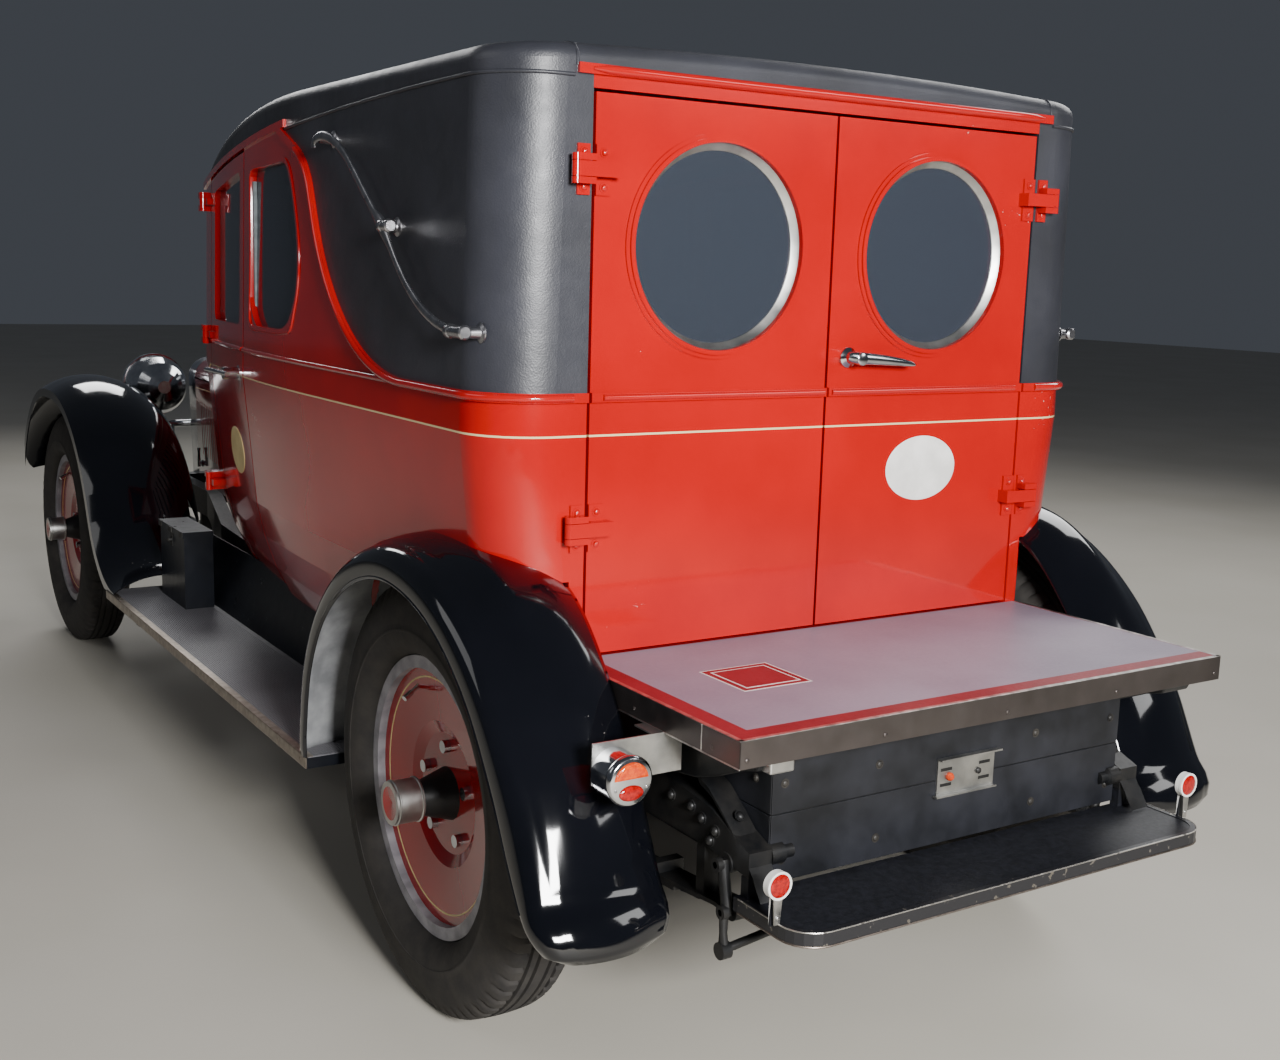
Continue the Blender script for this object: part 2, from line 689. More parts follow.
# %% Helpers for swept and cut forms
def swept(maker, stations, section):
    """Carries a closed section, as (out, up) pairs, through stations of place, outward way and upward way."""
    rings = [
        [maker.verts.new(Vector(place) + out * Vector(side) + rise * Vector(above)) for out, rise in section]
        for place, side, above in stations
    ]
    return bridged(maker, rings)


def cut_plate(maker, outline, low_x, high_x):
    """A plate across the vehicle, with an outline of (ahead, height) pairs."""
    return bridged(maker, [[maker.verts.new(at(x, *pair)) for pair in outline] for x in (low_x, high_x)])


def domed(maker, outline, way, bulge, material_index=0):
    """Fills an outline with a dome that stands out by bulge."""
    outline = [Vector(p) for p in outline]
    middle = sum(outline, Vector()) / len(outline)
    way = Vector(way).normalized()
    rings = []
    for share, lift in ((1.0, 0.0), (0.97, 0.35), (0.85, 0.65), (0.6, 0.88), (0.3, 0.98)):
        rings.append([maker.verts.new(middle + share * (p - middle) + way * bulge * lift) for p in outline])
    bridged(maker, rings, material_index, capped=False)
    tip = maker.verts.new(middle + way * bulge)
    last = rings[-1]
    for k, corner in enumerate(last):
        maker.faces.new([corner, last[(k + 1) % len(last)], tip]).material_index = material_index
    return maker


def ellipse(middle, across, upward, half_across, half_up, start=0, stop=360, steps=48):
    """Points of an ellipse, or of a part of one."""
    full = stop - start == 360
    angles = [math.radians(start + (stop - start) * i / (steps if full else steps - 1)) for i in range(steps)]
    middle, across, upward = Vector(middle), Vector(across), Vector(upward)
    return [middle + half_across * math.cos(a) * across + half_up * math.sin(a) * upward for a in angles]


print("sweeping, cutting and doming helpers ready")

# %% [markdown]
# ## Tail box and its brackets
# Under the platform hangs a black box of painted boards for loose gear, with carriage bolts through its
# corners. Boards shrink, so a dark seam shows between them. The seam is modelled as a gap between two thin
# facings. Knees with a curved lower edge carry the platform on both sides of it, and a pressed silver bracket
# for a number plate is bolted to its back. The plate is missing, so the bracket is bare.

# %% Boards, bolts, knees and number bracket
box_low, box_high = corners("tail_box")
board_black = matt("painted_boards", "#101114", "#24252a", 0.4, 120, 0.5, 18.0)
SEAM = 0.585
FACING = 0.0025
CARRIAGE_BOLT = (0.0065, 0.0035, 0.0008)
BOLT_HEIGHTS = (0.500, 0.640)
boards = bmesh.new()
for low_z, high_z in ((box_low.z, SEAM - 0.001), (SEAM + 0.001, box_high.z - 0.001)):
    plate(boards, (box_low.x - 0.001, box_low.y - FACING, low_z), (box_high.x + 0.001, box_low.y, high_z))
    for low_x, high_x in ((box_low.x - FACING, box_low.x), (box_high.x, box_high.x + FACING)):
        plate(boards, (low_x, box_low.y, low_z), (high_x, box_high.y, high_z))
new_piece("tail_box_boards", boards, board_black, "body", smooth=False, bevel=0.001)
bolts = bmesh.new()
for height in BOLT_HEIGHTS:
    for x in (-0.415, -0.20, 0.20, 0.415):
        dome_bolt(bolts, (x, box_low.y - FACING, height), BACKWARD, *CARRIAGE_BOLT)
    for ahead in (-0.66, -0.36):
        for x, way in ((box_low.x - FACING, -1), (box_high.x + FACING, 1)):
            dome_bolt(bolts, at(x, ahead, height), (way, 0, 0), *CARRIAGE_BOLT)
new_piece("tail_box_bolts", bolts, iron_oily, "body")
KNEE = [(-0.300, 0.727), (-0.300, 0.650), (-0.420, 0.632), (-0.530, 0.628), (-0.610, 0.640), (-0.680, 0.664)]
KNEE += [(-0.740, 0.692), (-0.790, 0.706), (-0.800, 0.727)]
knees = bmesh.new()
for low_x, high_x in ((-0.540, -0.462), (0.462, 0.540)):
    cut_plate(knees, KNEE, low_x, high_x)
new_piece("platform_knees", knees, frame_black, "body", smooth=False, bevel=0.004)
bracket = bmesh.new()
back = box_low.y - 0.0042
plate(bracket, (-0.058, back - 0.012, 0.6245), (0.098, back, 0.6275))
plate(bracket, (-0.066, back - 0.012, 0.5545), (0.088, back, 0.5575))
plate(bracket, (-0.0575, back - 0.0016, 0.5575), (0.0875, back, 0.6245))
for x in (-0.036, 0.062):
    plate(bracket, (x - 0.014, back - 0.0020, 0.602), (x + 0.014, back, 0.608), 1)
    plate(bracket, (x - 0.014, back - 0.0020, 0.572), (x + 0.014, back, 0.578), 1)
knob = [(0, 0.008), (0.006, 0.008), (0.010, 0.005), (0.011, 0)]
turned(bracket, knob, (-0.028, back, 0.590), BACKWARD, 20, 2)
button = [(0, 0.006), (0.005, 0.006), (0.007, 0.003), (0.0075, 0)]
turned(bracket, button, (0.046, back, 0.590), BACKWARD, 16, 1)
orange_knob = matt("orange_knob", "#a33412", "#c2441a", 0.35, 8, 0.05)
bracket_finishes = [dull_aluminium, frame_black, orange_knob]
new_piece("number_bracket_folds", bracket, bracket_finishes, "body", bevel=0.0004)
print("tail box: seam at", SEAM)

# %% [markdown]
# ## Lamp, reflectors and step
# The one tail lamp has a pressed chrome face with two windows: a half circle of amber glass over an oval of red.
# Two round red reflectors stand on small feet at the step's corners. The step is a board with a steel edging,
# from which feet have worn the paint in bright patches. The lenses are domed outlines, the edging a section
# swept round the step's corners.


# %% Tail lamp, reflectors and step edging
def chipped(name, paint, bare, size, amount):
    """Painted metal, worn through in patches about size millimetres long."""
    material, tree, shader, place = new_material(name, Roughness=0.35)
    spots = noise(tree, place, 1000 / size, 7.0)
    limits = {"From Min": 1 - amount - 0.03, "From Max": 1 - amount + 0.03}
    worn = add_node(tree, "ShaderNodeMapRange", {"Value": spots, **limits})
    mix = add_node(tree, "ShaderNodeMix", {"Factor": worn.outputs["Result"]}, data_type="RGBA")
    mix.inputs[6].default_value = linear(paint)
    mix.inputs[7].default_value = linear(bare)
    tree.links.new(mix.outputs[2], shader.inputs["Base Color"])
    tree.links.new(worn.outputs["Result"], shader.inputs["Metallic"])
    bumped(tree, shader, worn.outputs["Result"], -0.3, 0.6)
    return material


edge_brown = metal("browned_step_nosing", "#6d635b", "#8b8078", 0.42, 30, 0.1)
worn_edge = chipped("worn_step_edge", "#17171b", "#8f8980", 14, 0.33)
fittings = finish("tail_fittings", step_paint, bright_plate, dull_aluminium, white_paint)
lamp_place = at(-0.700, -0.650, 0.675)
LAMP_RADIUS = 0.0435
for face in fittings.polygons:
    x, y, z = face.center
    if z > 0.55 and x < -0.5:
        on_lamp = math.hypot(x - lamp_place.x, z - lamp_place.z) < LAMP_RADIUS and y < -2.1085
        face.material_index = 1 if on_lamp else 2
    elif z > 0.55 and abs(x - 0.015) < 0.08 and y < -2.2:
        face.material_index = 2
    elif z > 0.49 and abs(x) > 0.48 and y < -2.32:
        face.material_index = 3
profile = [(-0.003, 0.0425), (0.002, 0.0440), (0.007, LAMP_RADIUS), (0.0105, 0.0405), (0.0115, 0.0385)]
lamp = turned(bmesh.new(), profile + [(0.0115, 0)], lamp_place, BACKWARD, 56)
centre = lamp_place + BACKWARD * 0.0115
domed(lamp, ellipse(centre, ACROSS, UPWARD, 0.0335, 0.0335, 8, 172, 40), BACKWARD, 0.005, 1)
domed(lamp, ellipse(centre - UPWARD * 0.0195, ACROSS, UPWARD, 0.0235, 0.0135), BACKWARD, 0.005, 2)
for x in (-0.030, 0.030):
    dome_bolt(lamp, centre + Vector((x, 0, -0.012)), BACKWARD, 0.0022, 0.0012, 0.0003)
new_piece("tail_lamp_face", lamp, [bright_plate, amber_lens, red_lens], "body")
reflectors = bmesh.new()
for x in (-0.515, 0.515):
    place = at(x, -0.830, 0.520)
    profile = [(-0.002, 0.0245), (0.0030, 0.0245), (0.0040, 0.0225), (0.0030, 0.0205)]
    turned(reflectors, profile, place, BACKWARD, 40)
    domed(reflectors, ellipse(place + BACKWARD * 0.0015, ACROSS, UPWARD, 0.0208, 0.0208), BACKWARD, 0.004, 1)
    foot = [(x - 0.009, 0.500), (x + 0.009, 0.500), (x + 0.0055, 0.4505), (x - 0.0055, 0.4505)]
    rings = [[reflectors.verts.new(at(foot_x, ahead, z)) for foot_x, z in foot] for ahead in (-0.8290, -0.8262)]
    bridged(reflectors, rings, 2)
    dome_bolt(reflectors, at(x, -0.829, 0.463), BACKWARD, 0.0035, 0.002, 0.0004, 2)
new_piece("reflector_faces", reflectors, [white_paint, red_lens, dull_aluminium], "body")
STEP_HALF, STEP_CORNER, STEP_BACK = 0.510, 0.060, -0.890
path = [((-STEP_HALF, -0.715), (-1, 0))]
for turn in range(0, 91, 15):
    a = math.radians(turn)
    side = (-math.cos(a), -math.sin(a))
    middle = (-STEP_HALF + STEP_CORNER, STEP_BACK + STEP_CORNER)
    path.append(((middle[0] + STEP_CORNER * side[0], middle[1] + STEP_CORNER * side[1]), side))
path += [((-x, s), (-side[0], side[1])) for (x, s), side in reversed(path)]


def beside_step(out, height):
    """Points round the step's edge, out metres outside it."""
    return [at(x + side[0] * out, s + side[1] * out, height) for (x, s), side in path]


stations = [(at(x, s, 0), (side[0], side[1], 0), UPWARD) for (x, s), side in path]
EDGING = [(0.0, 0.4245), (0.0022, 0.4245), (0.0022, 0.4514), (-0.010, 0.4514), (-0.010, 0.4502), (0.0, 0.4502)]
new_piece("step_edging", swept(bmesh.new(), stations, EDGING), worn_edge, "body", smooth=False)
rubbed_rim = chipped("rubbed_step_rim", "#4a4743", "#cfcac2", 25, 0.62)
rub_line = followed(bmesh.new(), beside_step(0.0018, 0.4510), 0.0013, sides=8)
new_piece("step_rub_line", rub_line, rubbed_rim, "body")
nosing = followed(bmesh.new(), beside_step(0.0016, 0.4262), 0.0022, sides=8)
new_piece("step_nosing", nosing, edge_brown, "body")
print("lamp at", [round(c, 3) for c in lamp_place])

# %% [markdown]
# ## Spring shackles and tail forgings
# The rear springs end in shackles under curved forgings that are bolted to the frame rails. They are black
# castings with nuts and pins, and stand out against the light floor in the picture. Each one is a bar along a
# few points, which a forging mostly is, with turned eyes and hexagon nuts.

# %% Forgings, shackles and bolts behind the rear axle
RAIL = 0.470
ARM_LINE = [(-0.560, 0.612), (-0.600, 0.598), (-0.645, 0.566), (-0.690, 0.530), (-0.730, 0.492), (-0.752, 0.458)]
ARM = [(-0.024, -0.006), (0.024, -0.006), (0.024, 0.013), (0.014, 0.020), (-0.014, 0.020), (-0.024, 0.013)]
ARM_FACE = Vector((0, 0.62, 0.78))
ARM_BOLTS = ((-0.545, 0.560), (-0.579, 0.548), (-0.621, 0.538), (-0.606, 0.516), (-0.480, 0.560))
BOSS = [(0, 0.019), (0.030, 0.019), (0.034, 0.013), (0.052, 0.013), (0.054, 0)]
PIN = [(0, 0.006), (0, 0.013), (0.012, 0.013), (0.012, 0.009), (0.094, 0.009), (0.094, 0.013), (0.104, 0.013)]
SPRING_LINE = [(-0.520, 0.392), (-0.575, 0.400), (-0.625, 0.405), (-0.676, 0.400)]
SPRING_LEAF = [(-0.027, -0.004), (0.027, -0.004), (0.027, 0.004), (-0.027, 0.004)]


def barrel(half, radius):
    """The profile of a plain cylinder about its middle."""
    return [(-half, 0), (-half, radius), (half, radius), (half, 0)]


forgings = bmesh.new()
for way in (-1, 1):
    swept(forgings, [(at(way * RAIL, s, z), ACROSS, ARM_FACE) for s, z in ARM_LINE], ARM)
    dome_bolt(forgings, at(way * RAIL, -0.655, 0.572), (0, -0.62, 0.78), 0.008, 0.005)
    turned(forgings, BOSS, at(way * 0.446, -0.705, 0.515), (-way, 0, 0), 24)
    for s, z in ARM_BOLTS:
        dome_bolt(forgings, at(way * 0.495, s, z), (way, 0, 0), 0.0085, 0.007)
    for x in (way * 0.504, way * 0.436):
        followed(forgings, [at(x, -0.656, 0.500), at(x, -0.666, 0.455), at(x, -0.677, 0.405)], 0.011, sides=10)
    for s, z in ((-0.656, 0.492), (-0.676, 0.412)):
        turned(forgings, PIN + [(0.104, 0)], at(way * 0.520, s, z), (-way, 0, 0), 12)
        turned(forgings, barrel(0.028, 0.019), at(way * RAIL, s, z), ACROSS, 24)
    link = [at(way * 0.512, -0.677, 0.405), at(way * 0.514, -0.680, 0.376), at(way * 0.514, -0.682, 0.350)]
    followed(forgings, link, [0.009, 0.0075, 0.010], sides=10)
    turned(forgings, barrel(0.010, 0.0155), at(way * 0.514, -0.682, 0.344), ACROSS, 20)
    rod = [at(way * 0.506, -0.682, 0.346), at(way * 0.452, -0.684, 0.354), at(way * 0.400, -0.686, 0.362)]
    followed(forgings, rod, 0.008)
    swept(forgings, [(at(way * RAIL, s, z), ACROSS, UPWARD) for s, z in SPRING_LINE], SPRING_LEAF)
    for s, z in ((-0.430, 0.400), (-0.250, 0.410)):
        clip = at(way * RAIL, s, z)
        plate(forgings, clip - Vector((0.032, 0.012, 0.030)), clip + Vector((0.032, 0.012, 0.012)))
new_piece("tail_forgings", forgings, frame_black, "body", bevel=0.0015)
print("forgings on both sides")

# %% [markdown]
# ## Doors at the back
# Each hinge strap is bolted through two small plates with domed bolts, painted with the door. The right door
# carries a chromed T-handle, and a white oval plate, which is blank here. A pale bevelled ring holds each round
# pane. All of it rides on the door that it is fixed to, so it swings with it.

# %% Bolts, handle, rings and oval on the rear doors
HINGE_HEIGHTS = (1.025, 1.681)
BEAD = [(-0.0150, 0.1815), (-0.0128, 0.1822), (-0.0060, 0.1925), (-0.0030, 0.1958), (-0.0150, 0.1958)]
for side, way in SIDES:
    for name, x, body in (("wall", 0.586, "body"), ("door", 0.544, f"rear_door_{side}")):
        bolts = bmesh.new()
        for height in HINGE_HEIGHTS:
            for rise in (-0.031, 0.031):
                place = Vector((way * x, body_rear_y - 0.005, height + rise))
                dome_bolt(bolts, place, BACKWARD, 0.0068, 0.0050, 0.0018)
        new_piece(f"rear_hinge_bolts_{name}_{side}", bolts, red_plain, body)
    ring = turned(bmesh.new(), BEAD, Vector((way * 0.279, body_rear_y, 1.552)), BACKWARD, 120)
    new_piece(f"porthole_bead_{side}", ring, dull_aluminium, f"rear_door_{side}")
oval_place = Vector((0.276, body_rear_y - 0.0002, 1.100))
oval = domed(bmesh.new(), ellipse(oval_place, ACROSS, UPWARD, 0.100, 0.070, steps=72), BACKWARD, 0.0016)
new_piece("rear_door_oval", oval, white_paint, "rear_door_right")
boss = Vector((0.055, body_rear_y, 1.340))
profile = [(0, 0.021), (0.003, 0.021), (0.006, 0.017), (0.010, 0.0125), (0.026, 0.0105), (0.034, 0.0135)]
handle = turned(bmesh.new(), profile + [(0.048, 0.0135), (0.050, 0.010), (0.050, 0)], boss, BACKWARD, 40)
blade = [(-0.034, 0.004, 0.0070), (-0.026, 0.003, 0.0105), (-0.005, 0.001, 0.0125), (0.030, -0.001, 0.0120)]
blade += [(0.070, -0.004, 0.0105), (0.110, -0.008, 0.0085), (0.138, -0.012, 0.0060), (0.150, -0.014, 0.0025)]
line = [boss + Vector((x, -0.041, z)) for x, z, _ in blade]
followed(handle, line, [radius for _, _, radius in blade], sides=20, flat=0.62, up=FORWARD)
grip = new_piece("rear_door_grip", handle, bright_plate, "rear_door_right")
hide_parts("rear_door_handle")
print("rear doors trimmed")

# %% [markdown]
# ## Rear fenders
# A rear fender is pressed steel: a rolled outer skirt, a soft crease, a high crown, and a skin that sweeps up to
# the body. Its tail has rounded corners and a turned-down lip. Black enamel shows every fault of a surface, so
# the skin is one smooth sheet: a section is carried along a curve through a few points, and drawn in at the
# tail to round its corners. A Solidify modifier gives the sheet its thickness, with bare grey metal inside.


# %% Curves through points and the fender sheet
def curve_through(points, step):
    """Samples a smooth curve through points, about one step apart."""
    points = [Vector(p) for p in points]
    ends = [2 * points[0] - points[1]] + points + [2 * points[-1] - points[-2]]
    samples = []
    for before, start, stop, after in zip(ends, ends[1:], ends[2:], ends[3:]):
        count = max(2, round((stop - start).length / step))
        for i in range(count):
            t = i / count
            straight = 2 * start + (stop - before) * t
            square = (2 * before - 5 * start + 4 * stop - after) * t**2
            cube = (3 * start - before - 3 * stop + after) * t**3
            samples.append(0.5 * (straight + square + cube))
    return samples + [points[-1]]


def ramp(value, low, high):
    """Runs smoothly from 0 at low to 1 at high."""
    share = min(max((value - low) / (high - low), 0.0), 1.0)
    return share * share * (3 - 2 * share)


FENDER_OUTER = 0.860
FENDER_WIDTH = 0.263
SKIRT = [(0.0035, -0.006), (0.0, 0.0), (0.0, 0.020), (0.005, 0.040), (0.020, 0.056), (0.042, 0.0655)]
CROWN = [(0.050, 0.0700), (0.085, 0.0785), (0.125, 0.0825), (0.165, 0.0805), (0.205, 0.0720), (0.240, 0.0570)]
fender_section = curve_through(SKIRT, 0.008) + curve_through(CROWN + [(FENDER_WIDTH, 0.045)], 0.011)
FENDER_LINE = [(0.465, 0.402), (0.463, 0.470), (0.432, 0.610), (0.350, 0.742), (0.215, 0.844), (0.060, 0.896)]
FENDER_LINE += [(-0.095, 0.892), (-0.240, 0.842), (-0.365, 0.748), (-0.462, 0.625), (-0.528, 0.515)]
FENDER_LINE += [(-0.578, 0.442), (-0.612, 0.412)]
fender_line = curve_through(FENDER_LINE, 0.016) + [Vector((-0.6225, 0.400)), Vector((-0.6245, 0.386))]
fender_line.append(Vector((-0.6250, 0.372)))
TAIL_CORNER = 0.060
TAIL_FLATTENED = 0.42
SWELL, SWELL_PLACE, SWELL_REACH = 0.030, 0.235, 0.14


def fender_sheet(way):
    """The outer skin of one rear fender, on the right for 1 or on the left for -1."""
    maker = bmesh.new()
    lengths = [0.0]
    for low, high in zip(fender_line, fender_line[1:]):
        lengths.append(lengths[-1] + (high - low).length)
    rows = []
    for i, point in enumerate(fender_line):
        before = fender_line[max(i - 1, 0)]
        after = fender_line[min(i + 1, len(fender_line) - 1)]
        run = (after - before).normalized()
        normal = Vector((run.y, -run.x))
        left_over = lengths[-1] - lengths[i]
        inset = 0.0
        if left_over < TAIL_CORNER:
            inset = TAIL_CORNER - math.sqrt(max(TAIL_CORNER**2 - (TAIL_CORNER - left_over) ** 2, 0))
        flat = 1 - TAIL_FLATTENED * ramp(-point.x, 0.50, 0.625)
        row = []
        for u, v in fender_section:
            share = u / FENDER_WIDTH
            across = FENDER_OUTER - (u + inset * 0.8 * (1 - 2 * share))
            near = math.exp(-(((point.x + SWELL_PLACE) / SWELL_REACH) ** 2))
            swell = SWELL * near * ramp(u, 0.05, 0.125)
            lift = v * (flat if v > 0 else 1) + swell
            place = point + normal * lift
            row.append(maker.verts.new(at(way * across, place.x, place.y)))
        rows.append(row)
    return woven(maker, rows)


bare_inside = matt("bare_inner_steel", "#77787a", "#9b9c9d", 0.42, 60, 0.2)
WALL_RADIUS, WALL_REAR = 0.508, -0.256
wall_turns = [math.radians(a) for a in range(21, 118, 6)]
wall_arc = [(WALL_RADIUS * math.cos(a) - 0.010, WALL_RADIUS * math.sin(a) + 0.425) for a in wall_turns]
for side, way in SIDES:
    finishes = [black_enamel, bare_inside]
    sheet = new_piece(f"rear_fender_skin_{side}", fender_sheet(way), finishes, "body")
    sheet.modifiers.clear()
    for face in sheet.data.polygons:
        face.use_smooth = True
    middle = Vector((way * 0.7, rear_axle_y, 0.6))
    outwards = sum(face.normal.dot(face.center - middle) * face.area for face in sheet.data.polygons)
    if outwards < 0:
        sheet.data.flip_normals()
    print(side, "skin faces outwards by", round(outwards, 3), len(sheet.data.polygons))
    thick = sheet.modifiers.new("sheet thickness", "SOLIDIFY")
    thick.thickness = 0.003
    thick.offset = -1
    thick.material_offset = 1
    thick.material_offset_rim = 0
    low_x, high_x = sorted((way * 0.5972, way * 0.6012))
    outline = [(s, z) for s, z in wall_arc if s > WALL_REAR] + [(WALL_REAR, 0.602)]
    wall = cut_plate(bmesh.new(), outline, low_x, high_x)
    new_piece(f"wheel_house_{side}", wall, black_enamel, "body", smooth=False)
    edge = [at(way * (FENDER_OUTER - 0.0010), p.x, p.y) for p in fender_line if p.x > -0.59]
    bead = followed(bmesh.new(), edge, 0.0028, sides=8, up=ACROSS)
    new_piece(f"rear_fender_bead_{side}", bead, black_enamel, "body")
    rivets = bmesh.new()
    for s, z in ((0.462, 0.450), (0.461, 0.520), (-0.250, 0.845), (0.100, 0.905)):
        dome_bolt(rivets, at(way * 0.858, s, z), (way, 0, 0), 0.003, 0.0015, 0.0003)
    new_piece(f"rear_fender_rivets_{side}", rivets, black_enamel, "body")
    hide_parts("rear_fenders")
print("fender line of", len(fender_line), "stations")

# %% [markdown]
# ## Landau irons
# The long S-shaped irons once carried a folding hood, and on this body they are ornament. Each is a flat forged
# bar, chromed, with a barrel at its middle joint and one at its lower end. The solid holds the place and the
# size. Here the bar follows a smooth curve and swells towards the joint, as the forging does.

# %% Irons and their barrels
IRON_LINE = [(0.566, 1.748), (0.560, 1.764), (0.509, 1.770), (0.441, 1.754), (0.384, 1.726), (0.336, 1.692)]
IRON_LINE += [(0.282, 1.650), (0.221, 1.604), (0.182, 1.577), (0.148, 1.543), (0.108, 1.503), (0.060, 1.463)]
IRON_LINE += [(0.000, 1.427), (-0.060, 1.403), (-0.120, 1.389), (-0.150, 1.386)]
IRON_ACROSS = 0.787
BARREL_RADIUS = 0.0135
NECK_RADIUS = 0.0115
# Old nickel plate, dulled by long polishing
iron_nickel = metal("dull_nickel_plate", "#9a999c", "#b9b8bb", 0.27, 30, 0.06)
for side, way in SIDES:
    x = way * IRON_ACROSS
    line = [at(x, p.x, p.y) for p in curve_through(IRON_LINE, 0.012)]
    middle = at(x, 0.180, 1.577)
    thickness = [0.0095 + 0.0075 * math.exp(-(((p - middle).length / 0.035) ** 2)) for p in line]
    iron = followed(bmesh.new(), line, thickness, sides=16, flat=0.45, up=ACROSS)
    for ahead, height, length in ((0.178, 1.5775, 0.048), (-0.138, 1.386, 0.072)):
        profile = [(0, 0), (0, NECK_RADIUS), (0.003, BARREL_RADIUS), (0.014, BARREL_RADIUS), (0.016, NECK_RADIUS)]
        profile += [(length - 0.014, NECK_RADIUS), (length - 0.012, BARREL_RADIUS)]
        profile += [(length - 0.003, BARREL_RADIUS), (length, 0.010), (length, 0)]
        turned(iron, profile, at(x, ahead + 0.008, height), BACKWARD, 32)
    for ahead, height in ((0.533, 1.766), (0.175, 1.5765), (-0.186, 1.385)):
        wall_point = surface_hit("quarters", at(way * 1.0, ahead, height), (-way, 0, 0))
        profile = [(0, 0.019), (0.003, 0.019), (0.006, 0.012), (IRON_ACROSS - wall_point.x * way, 0.009)]
        turned(iron, profile, wall_point, (way, 0, 0), 28)
    made = new_piece(f"landau_iron_{side}", iron, iron_nickel, "body")
    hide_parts("landau_irons")
print("irons with", len(line), "steps each")

# %% [markdown]
# ## Sides of the body
# A raised bead runs forward from the leathercloth's lower edge over the body and the front doors, and the cream
# coach line runs below it, on to the bonnet. The door handles are nickel plated, and the left door carries a
# small cream oval, blank here. Beads follow the panel: a straight line is shot at the solid from outside for
# each point, so the bead lies on the skin however the panel bends.


# %% Beads, coach line, handles and oval
def skin_point(node, ahead, height, way, proud=0.0):
    """A point on a side panel, seen from the side, standing out by proud."""
    hit = surface_hit(node, at(way * 1.5, ahead, height), (-way, 0, 0))
    return hit + Vector((way * proud, 0, 0)) if hit else None


def line_on(node, ends, way, proud=0.0, step=0.03):
    """Points on a side panel between two ends, each given as ahead and height."""
    (start, low), (stop, high) = ends
    count = max(2, round(abs(stop - start) / step))
    found = [
        skin_point(node, start + (stop - start) * i / count, low + (high - low) * i / count, way, proud)
        for i in range(count + 1)
    ]
    return [p for p in found if p]


BELT_HEIGHT = 1.270
HANDLE_AHEAD, HANDLE_HEIGHT, HANDLE_HALF = 1.300, 1.205, 0.030
HANDLE_FROM, HANDLE_TO = 1.25, 1.47
BELOW_HANDLE, ABOVE_HANDLE = 1.155, 1.250
PROUD_OF_PANEL = 0.006
HANDLE_FACE_AREA = 0.0008
OVAL_STEPS = 64
for side, way in SIDES:
    door = f"front_door_{side}"
    belts = (("body", "body_shell", "body", (0.150, 1.238)), ("door", door, door, (1.253, 1.732)))
    for name, node, body, ends in belts:
        line = line_on(node, [(s, BELT_HEIGHT) for s in ends], way, 0.0004)
        new_piece(f"belt_bead_{name}_{side}", followed(bmesh.new(), line, 0.0065), red_plain, body)
    ribbon = bmesh.new()
    for node, ends in (
        ("cowl", ((1.765, 1.1955), (2.320, 1.035))),
        ("hood_sides", ((2.340, 1.030), (3.310, 0.995))),
    ):
        followed(ribbon, line_on(node, ends, way, 0.0001), 0.0017, sides=6)
    new_piece(f"coach_line_front_{side}", ribbon, cream_paint, "body")
    mesh = finish(door, red_enamel, bright_plate)
    for face in mesh.polygons:
        x, y, z = face.center
        ahead = y - rear_axle_y
        on_handle = abs(z - HANDLE_HEIGHT) < HANDLE_HALF and HANDLE_FROM < ahead < HANDLE_TO
        if on_handle and face.area < HANDLE_FACE_AREA:
            below = skin_point(door, ahead, BELOW_HANDLE, way)
            above = skin_point(door, ahead, ABOVE_HANDLE, way)
            if below and above:
                x = below.x + (above.x - below.x) * (z - BELOW_HANDLE) / (ABOVE_HANDLE - BELOW_HANDLE)
            if max(abs(mesh.vertices[i].co.x) - abs(x) for i in face.vertices) > PROUD_OF_PANEL:
                face.material_index = 1
    place = skin_point(door, HANDLE_AHEAD, BELOW_HANDLE, way)
    place.z = HANDLE_HEIGHT
    rose = turned(bmesh.new(), [(0, 0.021), (0.003, 0.021), (0.006, 0.017), (0.006, 0)], place, (way, 0, 0), 32)
    knob = [(-0.002, 0), (-0.002, 0.009), (0.006, 0.009), (0.009, 0.006), (0.009, 0)]
    turned(rose, knob, place + Vector((way * 0.040, 0, 0)), (way, 0, 0), 24)
    new_piece(f"front_handle_rose_{side}", rose, bright_plate, door)
oval = bmesh.new()
OVAL_PLACE, OVAL_HALF = (1.425, 0.982), (0.088, 0.066)
rings = []
for share, proud in ((1.0, -0.0004), (0.985, 0.0014), (0.66, 0.0017), (0.33, 0.0018), (0.02, 0.0018)):
    ring = []
    for i in range(OVAL_STEPS):
        turn = 2 * math.pi * i / OVAL_STEPS
        ahead = OVAL_PLACE[0] + share * OVAL_HALF[0] * math.cos(turn)
        height = OVAL_PLACE[1] + share * OVAL_HALF[1] * math.sin(turn)
        ring.append(oval.verts.new(skin_point("front_door_left", ahead, height, -1, proud)))
    rings.append(ring)
bridged(oval, rings, capped=False)
oval.faces.new(rings[-1])
new_piece("side_oval", oval, cream_paint, "front_door_left")
felt = matt("grey_felt_channel", "#6b7275", "#868d90", 0.75, 20, 0.3)
channels = bmesh.new()
for way in (-1, 1):
    skin = skin_point("body_shell", 1.205, 1.45, way)
    low_x, high_x = sorted((skin.x - way * 0.016, skin.x - way * 0.006))
    plate(channels, (low_x, rear_axle_y + 1.156, 1.375), (high_x, rear_axle_y + 1.1715, 1.700))
new_piece("window_channels", channels, felt, "body", smooth=False, bevel=0.002)
print("side trim on both sides")

# %% [markdown]
# ## Running boards and the side box
# The running boards are boards under a ribbed grey mat, with a rolled aluminium edging held by small screws.
# On the left one stands a tool box with a hasp. The ribs run lengthwise, 6 mm apart, and are real strips,
# since they catch the light in a long view where a bump would fade out. Beside the box they stop short.

